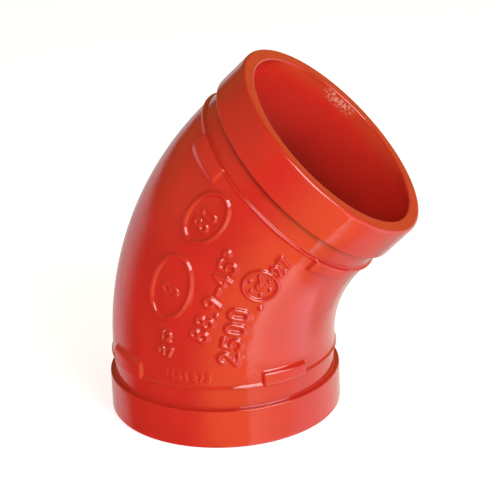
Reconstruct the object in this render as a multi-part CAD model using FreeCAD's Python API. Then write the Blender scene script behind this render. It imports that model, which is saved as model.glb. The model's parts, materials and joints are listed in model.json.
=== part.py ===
import FreeCAD, Part
import math
import os

from FreeCAD import Placement, Rotation, Vector

# One-piece cast elbow, 45 degrees, with a grooved end for a clamp coupling on each leg.
# Millimetres. The origin is the centre of the lower end face, +Z runs up the lower leg,
# and the bend turns towards +X in the XZ plane.

# The bend
BEND_DEG = 45.0             # angle between the two legs
CENTRE_TO_END = 64.0        # from the crossing of the leg axes to each end face
LEG = 27.0                  # straight stretch of each leg, before the bend starts

# Radii
PIPE_R = 44.45              # outside of the end lips, the same as 88.9 mm pipe
GROOVE_R = 42.47            # floor of the grooves
SHOULDER_R = 43.4           # low ridge behind each groove
BODY_R = 42.9               # outside of the body between the grooves
BORE_R = 39.0               # waterway

# Lengths along a leg, counted from its end face
LIP = 15.5                  # gasket land
GROOVE = 8.1                # width of the groove
SHOULDER_FLAT = 1.0
SHOULDER_SLOPE = 1.6

# Edge radii
FACE_OUTER_EDGE = 1.2
FACE_INNER_EDGE = 0.8
GROOVE_EDGE = 0.5
GROOVE_FOOT = 0.7

# Lugs: four raised blocks per end that carry the groove's back wall out to the lip's radius
LUG_COUNT = 4
LUG_FIRST_DEG = 45.0        # from the bend plane
LUG_TOP_HALF_DEG = 10.5     # half the angle that the flat top spans
LUG_BASE_HALF_DEG = 14.75   # half the angle that the sloped ends reach
LUG_TOP_LENGTH = 5.9
LUG_SLOPE_LENGTH = 2.4
LUG_ROOT = 1.5              # depth that a lug is sunk into the wall
LUG_EDGE = 0.6

# Raised marks: generic numbers and plain rings on the -Y side. Each is placed by its length
# along the centreline, its offset towards the outside of the bend, and its tilt in degrees.
MARK_HEIGHT = 0.8
MARK_ROOT = 0.8             # depth that a mark is sunk into the wall
MARK_REACH = 60.0           # how far a mark's prism runs out along -Y before it is trimmed
NUMBERS = [
    # text, height, line width, along, offset, tilt
    ("88.9-45o", 6.9, 1.5, 63.4, -0.8, 0),      # pipe diameter and bend angle
    ("2500", 7.2, 1.5, 49.6, -11.6, 0),         # pressure class in kPa
    ("80", 6.0, 1.1, 85.4, 16.6, -4),           # nominal bore in millimetres
    ("3", 6.5, 1.1, 58.7, 15.8, 0),             # nominal bore in inches
    (".", 5.0, 2.0, 65.6, -15.2, 0),
    ("27", 5.0, 1.1, 89.4, -15.6, 0),
    ("12", 3.6, 1.0, 42.0, 13.0, -90),
    ("07", 3.6, 1.0, 36.6, 12.4, -90),
]
OVALS = [
    # half length, half width, along, offset, tilt
    (11.0, 6.6, 85.4, 16.6, -4),
    (12.9, 7.4, 58.7, 15.8, 0),
]
OVAL_LINE = 1.3             # width of an oval's line
DIAL_ALONG = 75.6           # date dial: a ring, a hub with a pointer, and dots between them
DIAL_OFFSET = -13.6
DIAL_R = 6.2
DIAL_LINE = 1.2
DIAL_HUB_R = 1.2
DIAL_HUB_LINE = 1.0
DIAL_POINTER = (2.6, 1.3)   # tip of the pointer, from the dial's centre
DIAL_DOTS = 6
DIAL_DOT_R = 3.9            # distance of the dots from the dial's centre
DIAL_DOT_LENGTH = 0.1
DIAL_DOT_WIDTH = 0.9

# Tolerances
TOUCHING = 1e-6             # points closer than this are one corner

# Worked out from the sizes above
BEND = math.radians(BEND_DEG)
BEND_R = (CENTRE_TO_END - LEG) / math.tan(BEND / 2)
ARC = BEND_R * BEND
PATH = 2 * LEG + ARC


def path_point(s, n=0.0):
    """Point of the bend plane at length s along the centreline, n towards the outside."""
    turned = min(max(s - LEG, 0.0), ARC) / BEND_R
    ahead = s - LEG - turned * BEND_R
    along = Vector(math.sin(turned), 0, math.cos(turned))
    outside = Vector(-math.cos(turned), 0, math.sin(turned))
    centre = Vector(BEND_R, 0, LEG)
    return centre + outside * (BEND_R + n) + along * ahead, along, outside


def rounded_wire(corners):
    """Closed wire in the XZ plane through (x, z, corner radius) points."""
    edges = []
    starts = []
    ends = []
    for index, (x, z, radius) in enumerate(corners):
        here = Vector(x, 0, z)
        before = Vector(corners[index - 1][0], 0, corners[index - 1][1])
        following = corners[(index + 1) % len(corners)]
        after = Vector(following[0], 0, following[1])
        back = (before - here).normalize()
        on = (after - here).normalize()
        if radius == 0:
            starts.append(here)
            ends.append(here)
            continue
        half = back.getAngle(on) / 2
        setback = radius / math.tan(half)
        first = here + back * setback
        last = here + on * setback
        to_centre = (back + on).normalize()
        middle = here + to_centre * (radius / math.sin(half) - radius)
        edges.append(Part.Arc(first, middle, last).toShape())
        starts.append(first)
        ends.append(last)
    for index in range(len(corners)):
        first = ends[index]
        last = starts[(index + 1) % len(corners)]
        if first.distanceToPoint(last) > TOUCHING:
            edges.append(Part.LineSegment(first, last).toShape())
    return Part.Wire(Part.__sortEdges__(edges))


def turned_solid(corners):
    """Solid of revolution about Z from a rounded outline."""
    face = Part.Face(rounded_wire(corners))
    return face.revolve(Vector(0, 0, 0), Vector(0, 0, 1), 360)


def leg():
    """One straight leg: end face, lip, groove, shoulder and the start of the body."""
    back_wall = LIP + GROOVE
    shoulder_end = back_wall + SHOULDER_FLAT
    return turned_solid([
        (BORE_R, 0, FACE_INNER_EDGE),
        (PIPE_R, 0, FACE_OUTER_EDGE),
        (PIPE_R, LIP, GROOVE_EDGE),
        (GROOVE_R, LIP, GROOVE_FOOT),
        (GROOVE_R, back_wall, 0),
        (SHOULDER_R, back_wall, GROOVE_EDGE),
        (SHOULDER_R, shoulder_end, GROOVE_EDGE),
        (BODY_R, shoulder_end + SHOULDER_SLOPE, 0),
        (BODY_R, LEG, 0),
        (BORE_R, LEG, 0),
    ])


def lug(angle_deg):
    """One lug, in the leg's own frame: flat top, square groove side, other sides sloped."""
    root = BODY_R - LUG_ROOT
    start = LIP + GROOVE
    flat_end = start + LUG_TOP_LENGTH
    slope_end = flat_end + LUG_SLOPE_LENGTH
    ring = turned_solid([
        (root, start, 0),
        (PIPE_R, start, LUG_EDGE),
        (PIPE_R, flat_end, LUG_EDGE),
        (BODY_R, slope_end, 0),
        (root, slope_end, 0),
    ])
    top = math.radians(LUG_TOP_HALF_DEG)
    base = math.radians(LUG_BASE_HALF_DEG)
    foot = Vector(BODY_R * math.cos(base), BODY_R * math.sin(base), 0)
    crest = Vector(PIPE_R * math.cos(top), PIPE_R * math.sin(top), 0)
    slope = (crest - foot).normalize()
    outer = crest + slope
    inner = foot - slope * (2 * LUG_ROOT)
    side = [inner, outer, Vector(outer.x + LUG_ROOT, outer.y, 0)]
    other_side = [Vector(point.x, -point.y, 0) for point in reversed(side)]
    outline = Part.makePolygon(side + other_side + [inner])
    wedge = Part.Face(outline).extrude(Vector(0, 0, slope_end + LUG_ROOT))
    block = ring.common(wedge)
    block.rotate(Vector(0, 0, 0), Vector(0, 0, 1), angle_deg)
    return block


def grooved_end():
    """A leg with its lugs, standing on its end face at the origin."""
    step = 360.0 / LUG_COUNT
    lugs = [lug(LUG_FIRST_DEG + step * index) for index in range(LUG_COUNT)]
    return leg().multiFuse(lugs)


def bend_sweep(outer_r, inner_r):
    """Ring-section sweep round the bend, between the two legs."""
    rods = []
    for radius in (outer_r, inner_r):
        circle = Part.Wire(Part.makeCircle(radius, Vector(0, 0, LEG), Vector(0, 0, 1)))
        rods.append(Part.Face(circle).revolve(Vector(BEND_R, 0, LEG), Vector(0, 1, 0), BEND_DEG))
    return rods[0].cut(rods[1])


def upper_placement():
    """Carries a leg that stands at the origin to the upper end face, pointing inwards."""
    end, along, outside = path_point(PATH)
    rotation = Rotation(outside * -1, Vector(0, -1, 0), along * -1, "ZXY")
    return Placement(end, rotation)


# Strokes of the numbers, in units of the number's height: u along the line, v upwards.
# ("line", u0, v0, u1, v1), ("ring", u, v, radius) and ("arc", u, v, radius, from, to) in degrees.
STROKES = {
    "0": [("arc", 0.28, 0.72, 0.24, 0, 180), ("arc", 0.28, 0.28, 0.24, 180, 360),
          ("line", 0.04, 0.28, 0.04, 0.72), ("line", 0.52, 0.28, 0.52, 0.72)],
    "1": [("line", 0.12, 0.78, 0.32, 0.96), ("line", 0.32, 0.96, 0.32, 0.04)],
    "2": [("arc", 0.28, 0.72, 0.24, -35, 180), ("line", 0.477, 0.582, 0.04, 0.04),
          ("line", 0.04, 0.04, 0.54, 0.04)],
    "3": [("arc", 0.27, 0.73, 0.23, -90, 160), ("arc", 0.27, 0.27, 0.23, -160, 90)],
    "4": [("line", 0.42, 0.04, 0.42, 0.96), ("line", 0.42, 0.96, 0.04, 0.32),
          ("line", 0.04, 0.32, 0.56, 0.32)],
    "5": [("line", 0.5, 0.96, 0.1, 0.96), ("line", 0.1, 0.96, 0.07, 0.56),
          ("arc", 0.27, 0.3, 0.26, -150, 128)],
    "7": [("line", 0.04, 0.96, 0.54, 0.96), ("line", 0.54, 0.96, 0.2, 0.04)],
    "8": [("ring", 0.28, 0.74, 0.2), ("ring", 0.28, 0.27, 0.24)],
    "9": [("ring", 0.28, 0.7, 0.24), ("line", 0.52, 0.7, 0.3, 0.04)],
    "-": [("line", 0.05, 0.48, 0.4, 0.48)],
    ".": [("line", 0.06, 0.05, 0.08, 0.05)],
    "o": [("ring", 0.14, 0.82, 0.13)],
}
ADVANCE = {"1": 0.6, "-": 0.62, ".": 0.34, "o": 0.4}
USUAL_ADVANCE = 0.86


def line_face(u0, v0, u1, v1, half):
    """Flat stroke with round ends."""
    first = Vector(u0, v0, 0)
    last = Vector(u1, v1, 0)
    along = (last - first).normalize()
    side = Vector(-along.y, along.x, 0) * half
    edges = [
        Part.LineSegment(first + side, last + side).toShape(),
        Part.Arc(last + side, last + along * half, last - side).toShape(),
        Part.LineSegment(last - side, first - side).toShape(),
        Part.Arc(first - side, first - along * half, first + side).toShape(),
    ]
    return Part.Face(Part.Wire(edges))


def arc_face(u, v, radius, start_deg, end_deg, half):
    """Flat curved stroke with round ends."""
    def at(r, degrees):
        turn = math.radians(degrees)
        return Vector(u + r * math.cos(turn), v + r * math.sin(turn), 0)

    def cap_tip(degrees, sign):
        turn = math.radians(degrees)
        forward = Vector(-math.sin(turn), math.cos(turn), 0)
        return at(radius, degrees) + forward * (sign * half)

    middle = (start_deg + end_deg) / 2
    outer = radius + half
    inner = radius - half
    edges = [
        Part.Arc(at(outer, start_deg), at(outer, middle), at(outer, end_deg)).toShape(),
        Part.Arc(at(outer, end_deg), cap_tip(end_deg, 1), at(inner, end_deg)).toShape(),
        Part.Arc(at(inner, end_deg), at(inner, middle), at(inner, start_deg)).toShape(),
        Part.Arc(at(inner, start_deg), cap_tip(start_deg, -1), at(outer, start_deg)).toShape(),
    ]
    return Part.Face(Part.Wire(edges))


def hollow_face(outer_curve, inner_curve):
    """Flat face between two closed curves."""
    outer = Part.Face(Part.Wire(outer_curve.toShape()))
    inner = Part.Face(Part.Wire(inner_curve.toShape()))
    return outer.cut(inner).Faces[0]


def ring_face(u, v, radius, half):
    """Flat round ring."""
    centre = Vector(u, v, 0)
    up = Vector(0, 0, 1)
    return hollow_face(Part.Circle(centre, up, radius + half), Part.Circle(centre, up, radius - half))


def oval_face(half_length, half_width, half):
    """Flat oval ring, long along u."""
    centre = Vector(0, 0, 0)
    outer = Part.Ellipse(centre, half_length + half, half_width + half)
    inner = Part.Ellipse(centre, half_length - half, half_width - half)
    return hollow_face(outer, inner)


def number_faces(text, height, stroke):
    """Faces of a line of numbers, centred on the local origin, and read along u."""
    half = stroke / 2
    width = sum(ADVANCE.get(sign, USUAL_ADVANCE) for sign in text) * height
    faces = []
    u = -width / 2
    for sign in text:
        for kind, *values in STROKES[sign]:
            sizes = [value * height for value in values]
            if kind == "line":
                u0, v0, u1, v1 = sizes
                faces.append((u, line_face(u0, v0, u1, v1, half)))
            elif kind == "ring":
                faces.append((u, ring_face(sizes[0], sizes[1], sizes[2], half)))
            else:
                faces.append((u, arc_face(sizes[0], sizes[1], sizes[2], values[3], values[4], half)))
        u += ADVANCE.get(sign, USUAL_ADVANCE) * height
    placed = []
    for shift, face in faces:
        face.translate(Vector(shift, -height / 2, 0))
        placed.append(face)
    return placed


def on_body(faces, s, n, tilt_deg=0.0):
    """Prisms of the faces, stood off the bend plane at (s, n) and running out along -Y."""
    spot, along, outside = path_point(s, n)
    stand = Placement(spot, Rotation(along, outside, Vector(0, -1, 0), "XYZ"))
    tilt = Placement(Vector(0, 0, 0), Rotation(Vector(0, 0, 1), tilt_deg))
    prisms = []
    for face in faces:
        prism = face.extrude(Vector(0, 0, MARK_REACH))
        prism.Placement = stand.multiply(tilt).multiply(prism.Placement)
        prisms.append(prism)
    return prisms


def dial_faces():
    """Date dial: a ring, a hub with a pointer, and dots between them."""
    tip_u, tip_v = DIAL_POINTER
    faces = [
        ring_face(0, 0, DIAL_R, DIAL_LINE / 2),
        ring_face(0, 0, DIAL_HUB_R, DIAL_HUB_LINE / 2),
        line_face(0, 0, tip_u, tip_v, DIAL_HUB_LINE / 2),
    ]
    step = 2 * math.pi / DIAL_DOTS
    for index in range(DIAL_DOTS):
        turn = step * (index + 0.5)
        u = DIAL_DOT_R * math.cos(turn)
        v = DIAL_DOT_R * math.sin(turn)
        faces.append(line_face(u, v, u + DIAL_DOT_LENGTH, v, DIAL_DOT_WIDTH / 2))
    return faces


def mark_prisms():
    """Every raised mark as prisms along -Y."""
    prisms = on_body(dial_faces(), DIAL_ALONG, DIAL_OFFSET)
    for text, height, line, along, offset, tilt in NUMBERS:
        prisms += on_body(number_faces(text, height, line), along, offset, tilt)
    for half_length, half_width, along, offset, tilt in OVALS:
        oval = oval_face(half_length, half_width, OVAL_LINE / 2)
        prisms += on_body([oval], along, offset, tilt)
    return prisms


def raised_marks():
    """The prisms, trimmed to a thin layer on the body."""
    shell = bend_sweep(BODY_R + MARK_HEIGHT, BODY_R - MARK_ROOT)
    lower = Part.makeCylinder(BODY_R + MARK_HEIGHT, LEG - LIP - GROOVE, Vector(0, 0, LIP + GROOVE))
    lower = lower.cut(Part.makeCylinder(BODY_R - MARK_ROOT, LEG))
    upper = lower.copy()
    upper.Placement = upper_placement()
    shell = shell.multiFuse([lower, upper])
    prisms = mark_prisms()
    joined = prisms[0].multiFuse(prisms[1:])
    return shell.common(joined)


def elbow_casting():
    """The whole casting: two grooved ends, the bend between them and the raised marks."""
    lower = grooved_end()
    upper = lower.copy()
    upper.Placement = upper_placement()
    body = lower.multiFuse([bend_sweep(BODY_R, BORE_R), upper])
    casting = body.fuse(raised_marks())
    return casting.removeSplitter()


os.makedirs("parts", exist_ok=True)

casting = elbow_casting()
if casting.ShapeType != "Solid":
    casting = casting.Solids[0]
casting.exportStep("parts/elbow_casting.step")
print("elbow_casting", "valid", casting.isValid(), "volume", round(casting.Volume))
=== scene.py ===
import json
import math

import bpy
import numpy as np
from mathutils import Matrix, Vector


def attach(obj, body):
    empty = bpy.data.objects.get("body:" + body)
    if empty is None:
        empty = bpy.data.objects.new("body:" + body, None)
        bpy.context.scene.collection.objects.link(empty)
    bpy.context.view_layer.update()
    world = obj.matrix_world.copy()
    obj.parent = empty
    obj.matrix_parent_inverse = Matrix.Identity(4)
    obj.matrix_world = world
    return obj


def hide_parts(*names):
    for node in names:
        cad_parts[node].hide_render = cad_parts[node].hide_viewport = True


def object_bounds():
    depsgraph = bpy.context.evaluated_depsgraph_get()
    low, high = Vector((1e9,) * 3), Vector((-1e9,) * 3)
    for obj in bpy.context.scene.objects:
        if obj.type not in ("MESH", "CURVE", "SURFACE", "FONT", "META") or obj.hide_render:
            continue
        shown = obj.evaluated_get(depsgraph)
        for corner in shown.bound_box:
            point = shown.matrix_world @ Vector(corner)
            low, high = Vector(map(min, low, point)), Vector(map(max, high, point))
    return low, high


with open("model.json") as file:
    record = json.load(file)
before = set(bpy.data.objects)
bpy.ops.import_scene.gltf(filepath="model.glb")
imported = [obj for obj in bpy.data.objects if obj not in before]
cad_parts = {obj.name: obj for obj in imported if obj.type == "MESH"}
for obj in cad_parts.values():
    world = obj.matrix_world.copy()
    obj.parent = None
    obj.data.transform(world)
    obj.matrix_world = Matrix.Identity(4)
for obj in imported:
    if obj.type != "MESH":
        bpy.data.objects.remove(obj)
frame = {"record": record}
cad_low, cad_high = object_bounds()
record = frame["record"]

MM = 0.001
NODE = "elbow_casting"
SLOT = "red_enamel"
BODY = "root"

# ---------------------------------------------------------------- sizes, in millimetres

mounts = {mount["name"]: mount for mount in record["mounts"]}
upper_axis = mounts["upper_end_face"]["axis"]
upper_spot = mounts["upper_end_face"]["pos_m"]

PIPE_R = mounts["lower_end"]["dims"]["r_mm"]
GROOVE_R = mounts["lower_groove"]["dims"]["r_mm"]
BEND = math.atan2(upper_axis[0], upper_axis[2])
CENTRE_TO_END = upper_spot[0] / MM / math.sin(BEND)

LEG = 27.0
BODY_R = 42.9
SHOULDER_R = 43.7
BORE_R = 39.0
LIP = 15.5
GROOVE = 8.1
SHOULDER_FLAT = 0.5
SHOULDER_SLOPE = 0.9
SHOULDER_ROUND = 1.0

FACE_OUTER_EDGE = 1.2
FACE_INNER_EDGE = 0.8
GROOVE_EDGE = 0.45
GROOVE_FOOT = 0.4

LUG_FIRST_DEG = 45.0
LUG_STEP_DEG = 90.0
LUG_HALF_DEG = 12.4
LUG_LENGTH = 6.3
LUG_END_SLOPE = 0.5
LUG_END_ROUND = 0.6
LUG_TOP_SLOPE = 1.1
LUG_TOP_ROUND = 1.7
WALL_EDGE = 0.75

# Painted shade, painted light and painted glints in the paint's colour, and the bore's cast swells
CORNER_SHADE_WIDTH = 2.6         # painted shade in the upper groove's corner, behind the lip
ROUGH_DEPTH = 2.0          # patch of rough casting with painted glints, this far inside the upper mouth
ROUGH_TURN_DEG = -96.0
ROUGH_R = 9.0
MOUTH_LIGHT_R = 44.0              # the painted light band reaches this far round from the patch
WAVE_SEED = 7              # slow swells of the bore's cast skin
WAVE_OCTAVES = 3
WAVES_EACH = 6
WAVE_LENGTH = 26.0
WAVE_SIZE = 0.16

# Raised marks
MARK_HEIGHT = 1.2
INNER_HEIGHT = 0.7 * MARK_HEIGHT    # numbers inside the ovals
FAINT_HEIGHT = 0.3
MARK_SPREAD = 0.3          # how far a stroke's foot spreads past its half width
MARK_SPAN = 30.0           # no mark reaches further than this from its middle
MARK_SIDE = 0.15           # sine of the angle off the bend plane where marks may start
DIAL_R = 6.2
DIAL_HUB_R = 1.2
DIAL_POINTER = (2.6, 1.3)  # its tip
DIAL_DOTS = 6
DIAL_DOT_R = 3.9

BEND_R = (CENTRE_TO_END - LEG) / math.tan(BEND / 2)
ARC = BEND_R * BEND
PATH = 2 * LEG + ARC
BACK_WALL = LIP + GROOVE

# Mesh fineness
COLUMNS = 216
BODY_STEP = 1.25
FACE_STEP = 1.0
LIP_STEP = 1.6
FLOOR_STEP = 1.2
BORE_STEP = 2.0
HOLD = 0.2                 # rows this close to a rounded edge keep the flat beside it flat
FACE_HOLD = 0.15
FACE_INNER_ROWS = 5        # steps round each rounded edge
FACE_OUTER_ROWS = 7
GROOVE_ROWS = 4
WALL_SHARES = (0.5, 1.0)   # rows up the groove's back wall
WALL_EDGE_ROWS = 6
REFINE = 4                 # ways a cell is split where a flat cell would miss the shape
REFINE_OVER = 0.02         # by more than this
ROOM = 0.01                # allowed when a point is told from its neighbours by its place


# ---------------------------------------------------------------- the path of the bend

def path_frame(s):
    """Centre, direction along and direction to the outside of the bend, as (x, z) arrays."""
    s = np.asarray(s, float)
    turned = np.clip(s - LEG, 0.0, ARC) / BEND_R
    ahead = s - LEG - turned * BEND_R
    along = np.stack([np.sin(turned), np.cos(turned)], -1)
    outside = np.stack([-np.cos(turned), np.sin(turned)], -1)
    centre = np.array([BEND_R, LEG]) + outside * BEND_R + along * ahead[..., None]
    return centre, along, outside


def surface_point(s, theta, radius):
    """Point at length s, turned theta from the inside of the bend towards -Y."""
    centre, _, outside = path_frame(s)
    in_plane = -outside * (radius * np.cos(theta))[..., None]
    x = centre[..., 0] + in_plane[..., 0]
    z = centre[..., 1] + in_plane[..., 1]
    return np.stack([x, -radius * np.sin(theta), z], -1)


# ---------------------------------------------------------------- raised numbers and rings

# Strokes in units of the number's height: u along the line, v upwards.
STROKES = {
    "0": [("arc", 0.28, 0.72, 0.24, 0, 180), ("arc", 0.28, 0.28, 0.24, 180, 360),
          ("line", 0.04, 0.28, 0.04, 0.72), ("line", 0.52, 0.28, 0.52, 0.72)],
    "1": [("line", 0.12, 0.78, 0.32, 0.96), ("line", 0.32, 0.96, 0.32, 0.04)],
    "2": [("arc", 0.28, 0.72, 0.24, -35, 180), ("line", 0.477, 0.582, 0.04, 0.04),
          ("line", 0.04, 0.04, 0.54, 0.04)],
    "3": [("arc", 0.27, 0.73, 0.23, -90, 160), ("arc", 0.27, 0.27, 0.23, -160, 90)],
    "4": [("line", 0.42, 0.04, 0.42, 0.96), ("line", 0.42, 0.96, 0.04, 0.32),
          ("line", 0.04, 0.32, 0.56, 0.32)],
    "5": [("line", 0.5, 0.96, 0.1, 0.96), ("line", 0.1, 0.96, 0.07, 0.56),
          ("arc", 0.27, 0.3, 0.26, -150, 128)],
    "7": [("line", 0.04, 0.96, 0.54, 0.96), ("line", 0.54, 0.96, 0.2, 0.04)],
    "8": [("ring", 0.28, 0.74, 0.2), ("ring", 0.28, 0.27, 0.24)],
    "9": [("ring", 0.28, 0.7, 0.24), ("line", 0.52, 0.7, 0.3, 0.04)],
    "-": [("line", 0.05, 0.48, 0.4, 0.48)],
    ".": [("line", 0.06, 0.05, 0.08, 0.05)],
    "o": [("ring", 0.14, 0.82, 0.13)],
    " ": [],
}
ADVANCE = {"1": 0.6, "-": 0.62, ".": 0.34, "o": 0.4, " ": 0.4}
USUAL_ADVANCE = 0.86


def line_gap(u, v, u0, v0, u1, v1):
    """Distance from a straight stroke."""
    du, dv = u1 - u0, v1 - v0
    t = np.clip(((u - u0) * du + (v - v0) * dv) / (du * du + dv * dv), 0, 1)
    return np.hypot(u - u0 - t * du, v - v0 - t * dv)


def arc_gap(u, v, cu, cv, radius, start_deg, end_deg):
    """Distance from a curved stroke."""
    start, end = math.radians(start_deg), math.radians(end_deg)
    turn = np.mod(np.arctan2(v - cv, u - cu) - start, 2 * math.pi)
    on_arc = np.abs(np.hypot(u - cu, v - cv) - radius)
    first = np.hypot(u - cu - radius * math.cos(start), v - cv - radius * math.sin(start))
    last = np.hypot(u - cu - radius * math.cos(end), v - cv - radius * math.sin(end))
    return np.where(turn <= end - start, on_arc, np.minimum(first, last))


def ring_gap(u, v, cu, cv, radius):
    """Distance from a round ring's centreline."""
    return np.abs(np.hypot(u - cu, v - cv) - radius)


def oval_gap(u, v, half_length, half_width):
    """Distance from an oval ring's centreline, close to it."""
    k = np.sqrt((u / half_length) ** 2 + (v / half_width) ** 2) + 1e-9
    slope = np.sqrt((u / half_length ** 2) ** 2 + (v / half_width ** 2) ** 2) + 1e-9
    return np.abs(k * (k - 1) / slope)


def number_gap(u, v, text, height):
    """Distance from the nearest stroke of a centred line of numbers."""
    width = sum(ADVANCE.get(sign, USUAL_ADVANCE) for sign in text) * height
    gap = np.full(u.shape, 1e3)
    left = -width / 2
    for sign in text:
        local_u = (u - left) / height
        local_v = v / height + 0.5
        for kind, *values in STROKES[sign]:
            measure = {"line": line_gap, "arc": arc_gap, "ring": ring_gap}[kind]
            gap = np.minimum(gap, measure(local_u, local_v, *values) * height)
        left += ADVANCE.get(sign, USUAL_ADVANCE) * height
    return gap


def dial_gap(u, v):
    """Date dial: a ring, a hub, a pointer and dots round it."""
    gap = np.minimum(ring_gap(u, v, 0, 0, DIAL_R), ring_gap(u, v, 0, 0, DIAL_HUB_R))
    gap = np.minimum(gap, line_gap(u, v, 0, 0, *DIAL_POINTER))
    for index in range(DIAL_DOTS):
        turn = 2 * math.pi * (index + 0.5) / DIAL_DOTS
        dot_u, dot_v = DIAL_DOT_R * math.cos(turn), DIAL_DOT_R * math.sin(turn)
        gap = np.minimum(gap, np.hypot(u - dot_u, v - dot_v))
    return gap


# Each mark: length along the centreline, offset to the outside, tilt, stroke width, height, shape
MARKS = [
    (85.4, 16.6, -4, 1.3, MARK_HEIGHT, lambda u, v: oval_gap(u, v, 11.0, 6.6)),
    (85.4, 16.6, -4, 1.1, INNER_HEIGHT, lambda u, v: number_gap(u, v, "80", 6.0)),
    (58.7, 15.8, 0, 1.3, MARK_HEIGHT, lambda u, v: oval_gap(u, v, 12.9, 7.4)),
    (58.7, 15.8, 0, 1.1, INNER_HEIGHT, lambda u, v: number_gap(u, v, "3", 6.5)),
    (63.4, -0.8, 0, 1.7, MARK_HEIGHT, lambda u, v: number_gap(u, v, "88.9-45o", 6.9)),
    (49.6, -11.6, 0, 1.8, MARK_HEIGHT, lambda u, v: number_gap(u, v, "2500", 7.2)),
    (65.6, -15.2, 0, 1.8, MARK_HEIGHT, lambda u, v: number_gap(u, v, ".", 5.0)),
    (75.6, -13.6, 0, 1.2, MARK_HEIGHT, dial_gap),
    (89.4, -15.6, 0, 1.1, MARK_HEIGHT, lambda u, v: number_gap(u, v, "27", 5.0)),
    (42.0, 13.0, -90, 1.0, MARK_HEIGHT, lambda u, v: number_gap(u, v, "12", 3.6)),
    (36.6, 12.4, -90, 1.0, MARK_HEIGHT, lambda u, v: number_gap(u, v, "07", 3.6)),
    (28.6, 4.4, -90, 0.8, FAINT_HEIGHT, lambda u, v: number_gap(u, v, "0451 273", 3.2)),
]


def mark_height(s, theta):
    """Height of the raised marks; they are moulded along Y, so they are laid out in XZ."""
    offset = -BODY_R * np.cos(theta)
    centre, _, outside = path_frame(s)
    spot = centre + outside * offset[..., None]
    height = np.zeros(spot.shape[:-1])
    facing = np.sin(theta) > MARK_SIDE
    for mark_s, mark_n, tilt, width, rise, shape in MARKS:
        home, along, out = path_frame(mark_s)
        away = spot - (home + out * mark_n)
        u = away @ along
        v = away @ out
        near = facing & (np.hypot(u, v) < MARK_SPAN)
        turn = math.radians(-tilt)
        tu = u[near] * math.cos(turn) - v[near] * math.sin(turn)
        tv = u[near] * math.sin(turn) + v[near] * math.cos(turn)
        across = np.clip(shape(tu, tv) / (width / 2 + MARK_SPREAD), 0, 1)
        height[near] = np.maximum(height[near], rise * (1 - across ** 2))
    return height


# ---------------------------------------------------------------- lugs and shoulders

def rounded_step(past, run, rise, radius):
    """1 before a sloped side and 0 past it, with a rounded crest and foot; past is from its middle."""
    slope = math.atan2(rise, run)
    reach = run / 2 + radius * math.tan(slope / 2)
    x = np.minimum(np.abs(past), reach)
    on_arc = radius - np.sqrt(np.maximum(radius ** 2 - (reach - x) ** 2, 0))
    on_slope = rise / 2 - x * rise / run
    below = np.where(x > reach - radius * math.sin(slope), on_arc, on_slope) / rise
    return np.where(past > 0, below, 1 - below)


def lug_height(from_end, theta):
    """Raised blocks behind the groove, with sloped sides."""
    degrees = np.degrees(theta) - LUG_FIRST_DEG
    apart = np.abs((degrees + LUG_STEP_DEG / 2) % LUG_STEP_DEG - LUG_STEP_DEG / 2)
    across = np.radians(apart - LUG_HALF_DEG) * BODY_R
    along = from_end - BACK_WALL - LUG_LENGTH
    rise = PIPE_R - BODY_R
    level = rounded_step(across, LUG_END_SLOPE, rise, LUG_END_ROUND)
    return rise * level * rounded_step(along, LUG_TOP_SLOPE, rise, LUG_TOP_ROUND)


def shoulder_height(from_end):
    """Low ridge behind the groove."""
    rise = SHOULDER_R - BODY_R
    along = from_end - BACK_WALL - SHOULDER_FLAT - SHOULDER_SLOPE / 2
    return rise * rounded_step(along, SHOULDER_SLOPE, rise, SHOULDER_ROUND)


def body_radius(s, theta):
    """Outer radius between the grooves, with everything that stands on it."""
    from_end = np.minimum(s, PATH - s)
    raised = np.maximum(lug_height(from_end, theta), shoulder_height(from_end))
    return BODY_R + np.maximum(raised, mark_height(s, theta))


def cast_waves(points):
    """Slow swells of a cast skin under paint, as a sum of plane waves."""
    rng = np.random.default_rng(WAVE_SEED)
    total = np.zeros(points.shape[:-1])
    for octave in range(WAVE_OCTAVES):
        length = WAVE_LENGTH / 2 ** octave
        for _ in range(WAVES_EACH):
            direction = rng.normal(size=3)
            direction *= 2 * math.pi / length / np.linalg.norm(direction)
            total += np.sin(points @ direction + rng.uniform(0, 2 * math.pi)) / 2 ** octave
    return total * WAVE_SIZE / WAVES_EACH


# ---------------------------------------------------------------- rows of the outline

def arc_rows(s, r, radius, start_deg, end_deg, count):
    """Points of a rounded edge round centre (s, r); 0 degrees points along +r, 90 along +s."""
    angles = [math.radians(start_deg + (end_deg - start_deg) * i / count) for i in range(count + 1)]
    return [(s + radius * math.sin(a), r + radius * math.cos(a)) for a in angles]


def spread(first, last, step):
    """Values strictly between first and last, no further apart than step."""
    count = max(1, math.ceil(abs(last - first) / step - 1e-6))
    return [first + (last - first) * i / count for i in range(1, count)]


def held_rows(first, last, step, place):
    """Rows from first to last, both kept, with even ones between."""
    return [place(value) for value in [first] + spread(first, last, step) + [last]]


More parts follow.
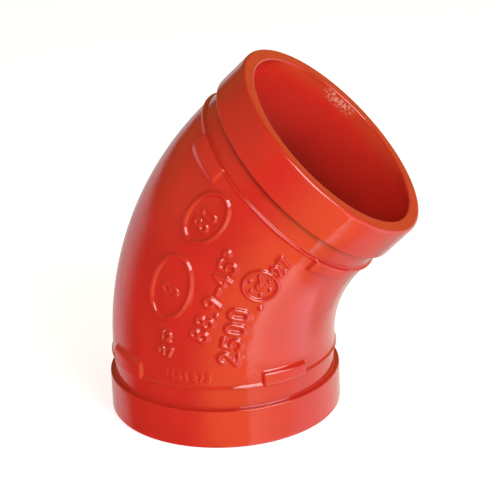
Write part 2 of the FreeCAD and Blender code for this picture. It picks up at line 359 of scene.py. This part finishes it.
def end_rows():
    """Rows from the bore's mouth to the top of the groove's back wall, as (s, r, weight, drop).

    Weight 0 keeps the radius r, and weight 1 takes the body's own radius less drop.
    """
    rows = arc_rows(FACE_INNER_EDGE, BORE_R + FACE_INNER_EDGE, FACE_INNER_EDGE, 180, 270,
                    FACE_INNER_ROWS)
    flat_from = BORE_R + FACE_INNER_EDGE
    flat_to = PIPE_R - FACE_OUTER_EDGE
    rows += held_rows(flat_from + FACE_HOLD, flat_to - FACE_HOLD, FACE_STEP, lambda r: (0.0, r))
    rows += arc_rows(FACE_OUTER_EDGE, flat_to, FACE_OUTER_EDGE, -90, 0, FACE_OUTER_ROWS)
    lip_to = LIP - GROOVE_EDGE
    rows += held_rows(FACE_OUTER_EDGE + HOLD, lip_to - HOLD, LIP_STEP, lambda s: (s, PIPE_R))
    rows += arc_rows(lip_to, PIPE_R - GROOVE_EDGE, GROOVE_EDGE, 0, 90, GROOVE_ROWS)
    rows += [(LIP, GROOVE_R + GROOVE_FOOT + 1.5 * HOLD)]
    foot_r = GROOVE_R + GROOVE_FOOT
    rows += arc_rows(LIP + GROOVE_FOOT, foot_r, GROOVE_FOOT, 270, 180, GROOVE_ROWS)
    floor_to = BACK_WALL - GROOVE_FOOT
    floor_from = LIP + GROOVE_FOOT
    rows += held_rows(floor_from + HOLD, floor_to - HOLD, FLOOR_STEP, lambda s: (s, GROOVE_R))
    rows += arc_rows(floor_to, foot_r, GROOVE_FOOT, 180, 90, GROOVE_ROWS)
    rows = [(s, r, 0.0, 0.0) for s, r in rows]
    wall_foot = rows[-1][1]
    rows += [(BACK_WALL, wall_foot, share, WALL_EDGE) for share in WALL_SHARES]
    for index in range(1, WALL_EDGE_ROWS + 1):
        turn = math.radians(90 * index / WALL_EDGE_ROWS)
        s = BACK_WALL + WALL_EDGE * (1 - math.cos(turn))
        rows.append((s, wall_foot, 1.0, WALL_EDGE * (1 - math.sin(turn))))
    return rows


def outline_rows():
    """The outer outline from mouth to mouth, and the rows between which cells may be refined."""
    lower = end_rows()
    first = lower[-1][0]
    body = [(s, 0.0, 1.0, 0.0) for s in spread(first, PATH - first, BODY_STEP)]
    upper = [(PATH - s, r, weight, drop) for s, r, weight, drop in reversed(lower)]
    walls = len(lower) - len(WALL_SHARES) - WALL_EDGE_ROWS
    return np.array(lower + body + upper), walls, len(lower + body + upper) - walls


ROWS, REFINE_FROM, REFINE_TO = outline_rows()


def outer_surface(t, theta):
    """Length and radius at row value t (between rows too) and angle theta."""
    at = np.arange(len(ROWS))
    s, r, weight, drop = (np.interp(t, at, ROWS[:, k]) for k in range(4))
    radius = r * (1 - weight) + (body_radius(s, theta) - drop) * weight
    return s, radius


# ---------------------------------------------------------------- the casting's mesh

def fine_flags():
    """Cells of the outer grid where a flat cell would miss the shape."""
    count = REFINE_TO - REFINE_FROM - 1
    t = REFINE_FROM + np.arange(count * REFINE + 1) / REFINE
    theta = np.arange(COLUMNS * REFINE + 1) * 2 * math.pi / (COLUMNS * REFINE)
    grid_t, grid_theta = np.meshgrid(t, theta, indexing="ij")
    _, radius = outer_surface(grid_t, grid_theta)
    error = np.zeros((count, COLUMNS))
    share = np.arange(REFINE + 1) / REFINE
    a = radius[:-1:REFINE, :-1:REFINE]
    b = radius[:-1:REFINE, REFINE::REFINE]
    c = radius[REFINE::REFINE, :-1:REFINE]
    d = radius[REFINE::REFINE, REFINE::REFINE]
    for i, p in enumerate(share):
        for j, q in enumerate(share):
            flat = a * (1 - p) * (1 - q) + b * (1 - p) * q + c * p * (1 - q) + d * p * q
            here = radius[i:i + count * REFINE:REFINE, j:j + COLUMNS * REFINE:REFINE]
            error = np.maximum(error, np.abs(here - flat))
    return error > REFINE_OVER


def build_casting():
    """One closed mesh: outer skin with refined cells round the marks and lugs, and the bore."""
    flags = fine_flags()
    params = [(i, j * 2 * math.pi / COLUMNS) for i in range(len(ROWS)) for j in range(COLUMNS)]
    faces = []
    edge_points = {}

    def edge(kind, i, j):
        key = (kind, i, j % COLUMNS)
        if key not in edge_points:
            made = []
            for k in range(1, REFINE):
                share = k / REFINE
                t = i + share if kind == "down" else i
                column = key[2] + (share if kind == "across" else 0)
                params.append((t, column * 2 * math.pi / COLUMNS))
                made.append(len(params) - 1)
            edge_points[key] = made
        return edge_points[key]

    def base(i, j):
        return i * COLUMNS + j % COLUMNS

    fine = set()
    for i, j in np.argwhere(flags):
        fine.add((int(i) + REFINE_FROM, int(j)))
    for i, j in sorted(fine):
        grid = [[None] * (REFINE + 1) for _ in range(REFINE + 1)]
        for a, row in ((0, i), (REFINE, i + 1)):
            grid[a] = [base(row, j)] + edge("across", row, j) + [base(row, j + 1)]
        left = edge("down", i, j)
        right = edge("down", i, j + 1)
        for a in range(1, REFINE):
            grid[a][0] = left[a - 1]
            grid[a][REFINE] = right[a - 1]
            for b in range(1, REFINE):
                params.append((i + a / REFINE, (j + b / REFINE) * 2 * math.pi / COLUMNS))
                grid[a][b] = len(params) - 1
        for a in range(REFINE):
            for b in range(REFINE):
                faces.append((grid[a][b], grid[a + 1][b], grid[a + 1][b + 1], grid[a][b + 1]))
    for i in range(len(ROWS) - 1):
        for j in range(COLUMNS):
            if (i, j) in fine:
                continue
            loop = [base(i, j)] + edge_points.get(("across", i, j), [])
            loop += [base(i, j + 1)] + edge_points.get(("down", i, (j + 1) % COLUMNS), [])
            loop += [base(i + 1, j + 1)] + edge_points.get(("across", i + 1, j), [])[::-1]
            loop += [base(i + 1, j)] + edge_points.get(("down", i, j), [])[::-1]
            faces.append(tuple(reversed(loop)))

    params = np.array(params)
    s, radius = outer_surface(params[:, 0], params[:, 1])
    outer = surface_point(s, params[:, 1], radius)

    bore_s = spread(PATH - FACE_INNER_EDGE, FACE_INNER_EDGE, BORE_STEP)
    theta = np.arange(COLUMNS) * 2 * math.pi / COLUMNS
    bore = [surface_point(np.full(COLUMNS, s_), theta, np.full(COLUMNS, BORE_R)) for s_ in bore_s]
    bore = np.concatenate(bore)
    start = len(outer)
    rows = [(len(ROWS) - 1) * COLUMNS] + [start + k * COLUMNS for k in range(len(bore_s))] + [0]
    for first, last in zip(rows, rows[1:]):
        for j in range(COLUMNS):
            k = (j + 1) % COLUMNS
            faces.append((first + j, last + j, last + k, first + k))

    points = np.concatenate([outer, bore])
    lengths = np.concatenate([s, np.repeat(bore_s, COLUMNS)])
    centre, _, _ = path_frame(lengths)
    return points, faces, centre, lengths


def casting_mesh():
    """The mesh, with how deep in the bore and how far into the upper groove's corner each point is."""
    points, faces, centre, along = build_casting()
    from_axis = points - np.stack([centre[:, 0], np.zeros(len(centre)), centre[:, 1]], -1)
    distance = np.linalg.norm(from_axis, axis=1)
    inside = distance < BORE_R + ROOM
    waves = np.where(inside, cast_waves(points), 0.0)
    points = points + from_axis / distance[:, None] * waves[:, None]
    mesh = bpy.data.meshes.new("casting")
    mesh.from_pydata((points * MM).tolist(), [], faces)
    mesh.validate()
    mesh.update()
    depth = np.where(inside, np.minimum(along, PATH - along), 0.0)
    past_lip = np.minimum(along, PATH - along) - LIP
    low = (past_lip > -ROOM) & (distance < PIPE_R - GROOVE_EDGE) & ~inside
    # Painted shade: how far into the upper groove's corner the paint colour is darkened
    corner = np.where(low & (along > PATH / 2), np.clip(1 - past_lip / CORNER_SHADE_WIDTH, 0, 1), 0.0)
    for name, values in (("depth", depth), ("corner", corner)):
        mesh.attributes.new(name, "FLOAT", "POINT").data.foreach_set("value", values.tolist())
    mesh.polygons.foreach_set("use_smooth", [True] * len(mesh.polygons))
    return mesh


# ---------------------------------------------------------------- the paint

PAINT = (0.50, 0.0200, 0.0125)
# Painted light: lighter orange for the band just inside the upper mouth, where light comes in
PAINTED_MOUTH_LIGHT = (0.66, 0.062, 0.022, 1)
# Painted glints: pale pinkish specks for the light caught by the rough casting
PAINTED_GLINT = (0.85, 0.42, 0.32, 1)
SPECULAR = 0.85
PATCHY_SCALE = 60.0        # noise scales, in cells per metre
GRAIN_SCALE = 1000.0
SWELL_SCALE = 110.0
PEEL_SCALE = 520.0
PEEL_SHARE = 0.12          # of the swell's height
BUMP_DEPTH = 0.00016


class Graph:
    """Short way to build a node graph."""

    def __init__(self, tree):
        self.tree = tree

    def node(self, kind, inputs=None, **settings):
        """A new node; an input that is a socket is linked, any other is set."""
        made = self.tree.nodes.new(kind)
        for name, value in settings.items():
            setattr(made, name, value)
        for name, value in (inputs or {}).items():
            if isinstance(value, bpy.types.NodeSocket):
                self.tree.links.new(value, made.inputs[name])
            else:
                made.inputs[name].default_value = value
        return made

    def math(self, operation, first, second=0.0):
        made = self.node("ShaderNodeMath", {0: first, 1: second}, operation=operation)
        return made.outputs[0]

    def ramp(self, value, low, high, to_low=0.0, to_high=1.0):
        """Smooth change from to_low at low to to_high at high."""
        made = self.node("ShaderNodeMapRange", {0: value, 1: low, 2: high, 3: to_low, 4: to_high},
                         interpolation_type="SMOOTHSTEP")
        return made.outputs[0]

    def mix(self, share, first, second):
        """Share 0 gives the first colour and 1 the second; colours use sockets 6, 7 and 2."""
        made = self.node("ShaderNodeMix", {0: share, 6: first, 7: second}, data_type="RGBA")
        return made.outputs[2]

    def noise(self, place, scale, detail=2.0):
        made = self.node("ShaderNodeTexNoise", {"Vector": place, "Scale": scale, "Detail": detail})
        return made.outputs[0]


def red_enamel():
    """Glossy red enamel over a cast skin.

    Its colour holds painted light just inside the mouths, painted shade deep in the bore and in the
    upper groove's corner, and a painted light band and painted glints round rough casting at one side
    of the upper mouth.
    """
    material = bpy.data.materials.new(SLOT)
    material.use_nodes = True
    graph = Graph(material.node_tree)
    shader = material.node_tree.nodes["Principled BSDF"]
    place = graph.node("ShaderNodeTexCoord").outputs["Object"]
    depth = graph.node("ShaderNodeAttribute", attribute_name="depth").outputs["Fac"]
    corner = graph.node("ShaderNodeAttribute", attribute_name="corner").outputs["Fac"]
    # Painted light just inside the mouths and painted shade deep in the bore, set by depth
    shade = graph.math("MULTIPLY", graph.ramp(depth, 0.0, 6.0, 1.0, 1.42),
                       graph.ramp(depth, 16.0, 50.0, 1.0, 0.12))
    # Painted shade: the paint colour is darkened in the upper groove's corner, behind the lip
    shade = graph.math("MULTIPLY", shade, graph.ramp(corner, 0.0, 1.0, 1.0, 0.3))
    patchy = graph.noise(place, PATCHY_SCALE, 3.0)
    shade = graph.math("MULTIPLY", shade, graph.ramp(patchy, 0.3, 0.7, 0.96, 1.04))
    paint = graph.node("ShaderNodeVectorMath", {0: PAINT}, operation="SCALE")
    material.node_tree.links.new(shade, paint.inputs["Scale"])

    # Painted light: a lighter orange band just inside the upper mouth, and painted glints on a patch
    # of rough casting
    spot = surface_point(PATH - ROUGH_DEPTH, math.radians(ROUGH_TURN_DEG), BORE_R) * MM
    away = graph.node("ShaderNodeVectorMath", {0: place, 1: tuple(spot)}, operation="DISTANCE")
    away = away.outputs["Value"]
    inside = graph.ramp(depth, 0.2, 0.9)
    mouth_light = graph.math("MULTIPLY", inside, graph.ramp(depth, 2.0, 8.0, 0.85, 0.0))
    mouth_light = graph.math("MULTIPLY", mouth_light, graph.ramp(away, MOUTH_LIGHT_R / 2 * MM, MOUTH_LIGHT_R * MM, 1.0, 0.0))
    colour = graph.mix(mouth_light, paint.outputs[0], PAINTED_MOUTH_LIGHT)
    # Painted glints: pale specks over the rough casting round the patch, for the light its grains
    # catch
    grains = graph.ramp(graph.noise(place, GRAIN_SCALE, 3.0), 0.48, 0.60)
    near = graph.ramp(away, ROUGH_R / 3 * MM, ROUGH_R * MM, 1.0, 0.0)
    near = graph.math("MULTIPLY", near, graph.ramp(depth, 2.5, 6.0, 0.9, 0.0))
    rough = graph.math("MULTIPLY", graph.math("MULTIPLY", grains, near), inside)
    colour = graph.mix(rough, colour, PAINTED_GLINT)
    material.node_tree.links.new(colour, shader.inputs["Base Color"])
    gloss = graph.ramp(depth, 2.0, 12.0, 0.10, 0.30)
    material.node_tree.links.new(gloss, shader.inputs["Roughness"])
    shader.inputs["Specular IOR Level"].default_value = SPECULAR
    swell = graph.noise(place, SWELL_SCALE)
    peel = graph.noise(place, PEEL_SCALE)
    height = graph.math("ADD", swell, graph.math("MULTIPLY", peel, PEEL_SHARE))
    bump = graph.node("ShaderNodeBump",
                      {"Height": height, "Strength": 1.0, "Distance": BUMP_DEPTH})
    material.node_tree.links.new(bump.outputs[0], shader.inputs["Normal"])
    return material


mesh = casting_mesh()
casting = bpy.data.objects.new("casting_skin", mesh)
bpy.context.scene.collection.objects.link(casting)
mesh.materials.append(red_enamel())
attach(casting, BODY)
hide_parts(NODE)

# ---------------------------------------------------------------- stage, light and camera

FLOOR_REACH = 3.0          # metres from the middle to each side
FLOOR_GAP = 0.0003         # metres under the part
FLOOR_WHITE = (0.9, 0.9, 0.9, 1)
FLOOR_GLOW = (0.9, 0.93, 1, 1)
FLOOR_GLOW_POWER = 0.69
LIGHT_DISTANCE = 1.2

middle = (cad_low + cad_high) / 2


def new_object(name, data):
    """An object in the scene."""
    thing = bpy.data.objects.new(name, data)
    bpy.context.scene.collection.objects.link(thing)
    return thing


def floor():
    """White ground that glows a little and is not seen in the paint."""
    reach = FLOOR_REACH
    mesh = bpy.data.meshes.new("floor")
    corners = [(-reach, -reach, 0), (reach, -reach, 0), (reach, reach, 0), (-reach, reach, 0)]
    mesh.from_pydata(corners, [], [(0, 1, 2, 3)])
    material = bpy.data.materials.new("floor_white")
    material.use_nodes = True
    shader = material.node_tree.nodes["Principled BSDF"]
    shader.inputs["Base Color"].default_value = FLOOR_WHITE
    shader.inputs["Roughness"].default_value = 0.9
    shader.inputs["Emission Color"].default_value = FLOOR_GLOW
    shader.inputs["Emission Strength"].default_value = FLOOR_GLOW_POWER
    mesh.materials.append(material)
    plane = new_object("floor", mesh)
    plane.location.z = cad_low.z - FLOOR_GAP
    plane.visible_glossy = False


def soft_light(name, azimuth, elevation, size, power):
    """Area light aimed at the middle; azimuth 0 stands in front, on the -Y side."""
    data = bpy.data.lights.new(name, "AREA")
    data.shape = "RECTANGLE"
    data.size, data.size_y = size
    data.energy = power
    lamp = new_object(name, data)
    a, e = math.radians(azimuth), math.radians(elevation)
    away = Vector((math.sin(a) * math.cos(e), -math.cos(a) * math.cos(e), math.sin(e)))
    lamp.location = middle + away * LIGHT_DISTANCE
    lamp.rotation_euler = away.to_track_quat("Z", "Y").to_euler()
    return lamp


def camera():
    """Seen from the front right and above, with a slight roll, through a long lens."""
    azimuth, elevation, roll = (math.radians(v) for v in (13.02, 22.41, -2.34))
    distance = 953.96 * MM
    aim = middle + Vector((-4.27, 0.98, -7.48)) * MM
    back = Vector((math.sin(azimuth) * math.cos(elevation),
                   -math.cos(azimuth) * math.cos(elevation), math.sin(elevation)))
    right = Vector((math.cos(azimuth), math.sin(azimuth), 0))
    up = back.cross(right)
    rolled_right = right * math.cos(roll) + up * math.sin(roll)
    rolled_up = up * math.cos(roll) - right * math.sin(roll)
    data = bpy.data.cameras.new("camera")
    data.sensor_width = 36.0
    data.lens = 180.0
    data.clip_start = 0.01
    cam = new_object("camera", data)
    turn = Matrix((rolled_right, rolled_up, back)).transposed().to_4x4()
    cam.matrix_world = Matrix.Translation(aim + back * distance) @ turn
    bpy.context.scene.camera = cam


def studio_world():
    """The room seen in the paint, as panels by angle round it (turn) and above the horizon (rise)."""
    world = bpy.data.worlds.new("studio")
    bpy.context.scene.world = world
    world.use_nodes = True
    graph = Graph(world.node_tree)
    background = world.node_tree.nodes["Background"]
    way = graph.node("ShaderNodeTexCoord").outputs["Generated"]
    split = graph.node("ShaderNodeSeparateXYZ", {0: way})
    x, y, z = split.outputs
    turn = graph.math("MULTIPLY", graph.math("ARCTAN2", x, graph.math("MULTIPLY", y, -1.0)),
                      180 / math.pi)
    rise = graph.math("MULTIPLY", graph.math("ARCSINE", z), 180 / math.pi)

    def times(first, second):
        return graph.math("MULTIPLY", first, second)

    def tinted(mask, colour):
        made = graph.node("ShaderNodeVectorMath", {0: colour}, operation="SCALE")
        world.node_tree.links.new(mask, made.inputs["Scale"])
        return made.outputs[0]

    def add(first, second):
        return graph.node("ShaderNodeVectorMath", {0: first, 1: second}, operation="ADD").outputs[0]

    above = graph.ramp(rise, -5.0, 10.0)
    below = graph.ramp(rise, -4.0, 4.0, 1.0, 0.0)
    side_rows = times(below, graph.ramp(rise, -42.0, -30.0))
    behind_left = graph.ramp(turn, -122.0, -90.0, 1.0, 0.0)
    behind_right = graph.ramp(turn, 108.0, 128.0)
    right_card = times(graph.ramp(turn, 34.5, 37.0), graph.ramp(turn, 108.0, 128.0, 1.0, 0.0))
    card_rows = times(graph.ramp(rise, -64.0, -58.0), graph.ramp(rise, -31.0, -27.0, 1.0, 0.35))
    card_rows = times(card_rows, below)
    card_fade = graph.ramp(turn, 38.0, 60.0, 1.35, 0.72)
    warm_fade = graph.ramp(turn, 40.0, 80.0, 1.0, 0.45)
    parts = [
        # Dim, warm top
        tinted(above, (0.21, 0.16, 0.05)),
        # Panels behind, left and right, and a warm one above the right
        tinted(times(behind_left, side_rows), (0.6, 0.6, 0.6)),
        tinted(times(behind_right, side_rows), (0.55, 0.35, 0.3)),
        tinted(times(graph.ramp(turn, 120.0, 150.0), above), (0.45, 0.16, 0.02)),
        # Pale card low on the right
        tinted(times(times(right_card, card_rows), card_fade), (0.6, 0.85, 1.0)),
        # Ground: warm in front, then green and blue round to the right
        tinted(times(times(graph.ramp(turn, -30.0, 12.0), below), warm_fade), (0.75, 0.62, 0.12)),
        tinted(times(graph.ramp(turn, 30.0, 85.0), below), (0.0, 0.22, 0.17)),
        tinted(times(graph.ramp(turn, 72.0, 104.0), below), (0.0, 0.14, 0.34)),
    ]
    total = parts[0]
    for part in parts[1:]:
        total = add(total, part)
    world.node_tree.links.new(total, background.inputs["Color"])
    background.inputs["Strength"].default_value = 1.0


floor()
camera()
studio_world()
# Azimuth and elevation in degrees, size in metres and power in watts
soft_light("window", 46, 30, (0.70, 0.85), 9.9)
soft_light("window_side", 71.5, 30, (0.40, 0.85), 5.7).visible_diffuse = False
soft_light("front_fill", -10, 20, (0.4, 0.4), 4.2).visible_glossy = False
soft_light("right_fill", 98, 16, (1.0, 0.6), 3.2).visible_glossy = False
soft_light("left_fill", -75, 15, (1.0, 0.8), 3.2).visible_glossy = False
bpy.context.scene.view_settings.view_transform = "Standard"
